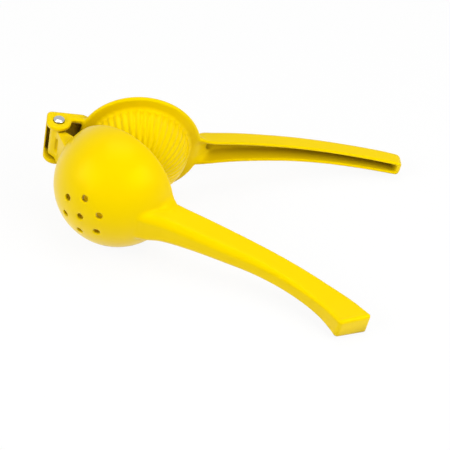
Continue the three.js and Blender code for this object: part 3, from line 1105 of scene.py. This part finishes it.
@dataclass(frozen=True)
class BakedEnamel:
    """Glossy baked enamel over die-cast aluminium.

    The lacquer is sprayed and baked, so it is smooth with a faint orange peel, softens reflections a little
    and lies a touch deeper in colour where it is thick. In recesses and where parts close round each other,
    its colour is painted darker towards an olive brown: painted shade, read from ambient occlusion.
    """

    colour: str = "#F0D000"
    deep_colour: str = "#EBC900"
    # Painted shade in recesses: its dark olive-brown colour, how far the occlusion looks, and the open and shut
    # shares between which it fades in.
    recess_shade_colour: str = "#6B5310"
    recess_shade_mm: float = 20.0
    recess_shade_open_share: float = 0.74
    recess_shade_shut_share: float = 0.02
    sheen_colour: str = "#FFE600"
    gloss_index: float = 1.36
    roughness: float = 0.3
    roughness_spread: float = 0.05
    peel_mm: float = 1.4
    cloud_mm: float = 30.0
    peel_height_mm: float = 0.006

    def material(self, name: str) -> bpy.types.Material:
        """Builds the enamel's material under a name, with painted shade in its recesses."""
        material, tree = empty_material(name)
        place = add_node(tree, "ShaderNodeTexCoord").outputs["Object"]
        peel = add_node(tree, "ShaderNodeTexNoise", {
            "Vector": place, "Scale": 1 / (self.peel_mm * METRES_PER_MM), "Detail": 1.0,
        })
        cloud = add_node(tree, "ShaderNodeTexNoise", {
            "Vector": place, "Scale": 1 / (self.cloud_mm * METRES_PER_MM), "Detail": 2.0,
        })
        tint = add_node(tree, "ShaderNodeMix", {
            0: cloud.outputs[0], 6: linear(self.colour), 7: linear(self.deep_colour),
        }, data_type="RGBA")
        # Painted shade: where ambient occlusion finds the surface closed in, the base colour is mixed towards a
        # dark olive brown.
        openness = add_node(tree, "ShaderNodeAmbientOcclusion", {
            "Distance": self.recess_shade_mm * METRES_PER_MM,
        })
        painted_recess_shade = add_node(tree, "ShaderNodeMapRange", {
            0: openness.outputs["AO"], 1: self.recess_shade_shut_share, 2: self.recess_shade_open_share, 3: 1.0, 4: 0.0,
        })
        coat_with_painted_shade = add_node(tree, "ShaderNodeMix", {
            0: painted_recess_shade.outputs[0], 6: tint.outputs[2], 7: linear(self.recess_shade_colour),
        }, data_type="RGBA")
        gloss = add_node(tree, "ShaderNodeMapRange", {
            0: cloud.outputs[0],
            3: self.roughness - self.roughness_spread,
            4: self.roughness + self.roughness_spread,
        })
        bump = add_node(tree, "ShaderNodeBump", {
            "Height": peel.outputs[0], "Strength": 1.0, "Distance": self.peel_height_mm * METRES_PER_MM,
        })
        shader = add_node(tree, "ShaderNodeBsdfPrincipled", {
            "Base Color": coat_with_painted_shade.outputs[2],
            "Roughness": gloss.outputs[0],
            "IOR": self.gloss_index,
            "Specular Tint": linear(self.sheen_colour),
            "Normal": bump.outputs[0],
        })
        add_node(tree, "ShaderNodeOutputMaterial", {"Surface": shader.outputs[0]})
        return material


@dataclass(frozen=True)
class PolishedSteel:
    """Polished stainless steel, turned and buffed, with fine marks from the buffing wheel."""

    colour: str = "#B4B6B9"
    roughness: float = 0.12
    roughness_spread: float = 0.05
    mark_mm: float = 0.5

    def material(self, name: str) -> bpy.types.Material:
        """Builds the steel's material under a name."""
        material, tree = empty_material(name)
        place = add_node(tree, "ShaderNodeTexCoord").outputs["Object"]
        marks = add_node(tree, "ShaderNodeTexNoise", {
            "Vector": place, "Scale": 1 / (self.mark_mm * METRES_PER_MM), "Detail": 3.0,
        })
        gloss = add_node(tree, "ShaderNodeMapRange", {
            0: marks.outputs[0],
            3: self.roughness - self.roughness_spread,
            4: self.roughness + self.roughness_spread,
        })
        shader = add_node(tree, "ShaderNodeBsdfPrincipled", {
            "Base Color": linear(self.colour),
            "Metallic": 1.0,
            "Roughness": gloss.outputs[0],
        })
        add_node(tree, "ShaderNodeOutputMaterial", {"Surface": shader.outputs[0]})
        return material


@dataclass(frozen=True)
class SoftBox:
    """One soft lamp that is aimed at the tool."""

    name: str
    azimuth: float
    elevation: float
    distance: float
    width: float
    height: float
    power: float


@dataclass(frozen=True)
class Studio:
    """The pale floor, the soft lamps and the camera."""

    view_azimuth: float = 15.04
    view_elevation: float = 42.0
    view_roll: float = -0.377
    view_distance: float = 0.8705
    view_from_pin: tuple[float, float, float] = (0.106545, -0.000066, -0.047274)
    lens: float = 112.0
    floor_size: float = 6.0
    floor_tone: float = 0.9
    ambient: float = 0.1
    floor_glow_share: float = 0.92
    lamps: tuple[SoftBox, ...] = field(default_factory=lambda: (
        SoftBox("top_box", 180.0, 80.0, 1.1, 0.7, 0.7, 4.4),
        SoftBox("left_box", -50.0, 36.0, 1.1, 0.8, 0.6, 6.9),
        SoftBox("right_box", 72.0, 38.0, 1.1, 0.8, 0.6, 8.9),
    ))

    @staticmethod
    def outward(azimuth: float, elevation: float) -> Vector:
        """Gives the direction from the tool to something at an azimuth and elevation in degrees."""
        turn, rise = math.radians(azimuth), math.radians(elevation)
        return Vector((math.sin(turn) * math.cos(rise), -math.cos(turn) * math.cos(rise), math.sin(rise)))

    def camera(self, pin: Vector) -> None:
        """Puts the camera at the photograph's viewing angle, placed from the hinge pin."""
        outward = self.outward(self.view_azimuth, self.view_elevation)
        look = (-outward).to_track_quat("-Z", "Y").to_matrix().to_4x4()
        roll = Matrix.Rotation(math.radians(self.view_roll), 4, "Z")
        deselect_all()
        bpy.ops.object.camera_add()
        camera = bpy.context.object
        camera.name = "camera"
        camera.data.lens = self.lens
        camera.data.sensor_width = 36.0
        place = pin + Vector(self.view_from_pin) + outward * self.view_distance
        camera.matrix_world = Matrix.Translation(place) @ look @ roll
        bpy.context.scene.camera = camera

    def light(self) -> None:
        """Adds the soft lamps, each aimed at the tool."""
        for lamp in self.lamps:
            outward = self.outward(lamp.azimuth, lamp.elevation)
            deselect_all()
            bpy.ops.object.light_add(type="AREA", location=outward * lamp.distance)
            light = bpy.context.object
            light.name = lamp.name
            light.rotation_euler = (-outward).to_track_quat("-Z", "Y").to_euler()
            light.data.shape = "RECTANGLE"
            light.data.size = lamp.width
            light.data.size_y = lamp.height
            light.data.energy = lamp.power

    def surround(self) -> None:
        """Makes the world plain, white to the camera and softer as light."""
        world = bpy.data.worlds.new("studio")
        world.use_nodes = True
        tree = world.node_tree
        tree.nodes.clear()
        soft = add_node(tree, "ShaderNodeBackground", {"Color": (1, 1, 1, 1), "Strength": self.ambient})
        white = add_node(tree, "ShaderNodeBackground", {"Color": (1, 1, 1, 1), "Strength": 1.0})
        mix = add_node(tree, "ShaderNodeMixShader", {
            0: seen_or_mirrored(tree), 1: soft.outputs[0], 2: white.outputs[0],
        })
        add_node(tree, "ShaderNodeOutputWorld", {"Surface": mix.outputs[0]})
        bpy.context.scene.world = world

    def floor(self) -> None:
        """Lays a plain white floor that keeps the tool's soft shadow."""
        deselect_all()
        bpy.ops.mesh.primitive_plane_add(size=self.floor_size)
        floor = bpy.context.object
        floor.name = "floor"
        material, tree = empty_material("white_paper_sweep")
        paper = add_node(tree, "ShaderNodeBsdfDiffuse", {"Color": (*[self.floor_tone] * 3, 1)})
        glow = add_node(tree, "ShaderNodeEmission", {"Color": (1, 1, 1, 1), "Strength": 1.0})
        share = add_node(tree, "ShaderNodeMath", {
            0: seen_or_mirrored(tree), 1: self.floor_glow_share,
        }, operation="MULTIPLY")
        mix = add_node(tree, "ShaderNodeMixShader", {
            0: share.outputs[0], 1: paper.outputs[0], 2: glow.outputs[0],
        })
        add_node(tree, "ShaderNodeOutputMaterial", {"Surface": mix.outputs[0]})
        floor.data.materials.append(material)

    def build(self, pin: Vector) -> None:
        """Builds the whole studio round the tool, whose hinge pin is where it is given."""
        self.camera(pin)
        self.light()
        self.surround()
        self.floor()
        bpy.context.scene.view_settings.view_transform = "Standard"


def settle(piece: bpy.types.Object, name: str, place: Matrix, material: bpy.types.Material) -> None:
    """Names a finished piece, lays it in the model's frame and gives it its finish."""
    piece.name = name
    piece.data.name = name
    activate(piece)
    piece.matrix_world = place
    bpy.ops.object.transform_apply(location=True, rotation=True, scale=True)
    piece.data.materials.clear()
    piece.data.materials.append(material)


def main() -> None:
    """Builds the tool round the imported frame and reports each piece."""
    logging.basicConfig(level=logging.INFO, format="%(name)s: %(message)s")
    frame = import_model()
    axes = ToolAxes.from_joint(frame["joints"][0])
    Studio().build(axes.pin)

    tool, skin = ToolSizes(), CastSkin()
    enamel, steel = BakedEnamel(), PolishedSteel()
    pin = HingePin(tool)
    bowl, press = BowlLever(tool, skin), PressLever(tool, skin)
    pieces = (
        (bowl.build, Lever.BOWL, "bowl_side", "strainer_bowl_lever", "bowl_lever_enamel", enamel),
        (press.build, Lever.PRESS, "press_side", "press_lever", "press_lever_enamel", enamel),
        (pin.pin, Lever.PRESS, "press_side", "hinge_pin", "pin_steel", steel),
        (pin.cap, Lever.PRESS, "press_side", "hinge_pin_cap", "cap_steel", steel),
    )
    for build, lever, body, node, slot, finish in pieces:
        piece = build()
        settle(piece, f"fine_{node}", axes.matrix(lever), finish.material(slot))
        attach(piece, body)
        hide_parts(node)
        piece.data.calc_loop_triangles()
        LOG.info("%s rides on %s with %d triangles", piece.name, body, len(piece.data.loop_triangles))


if __name__ == "__main__":
    main()
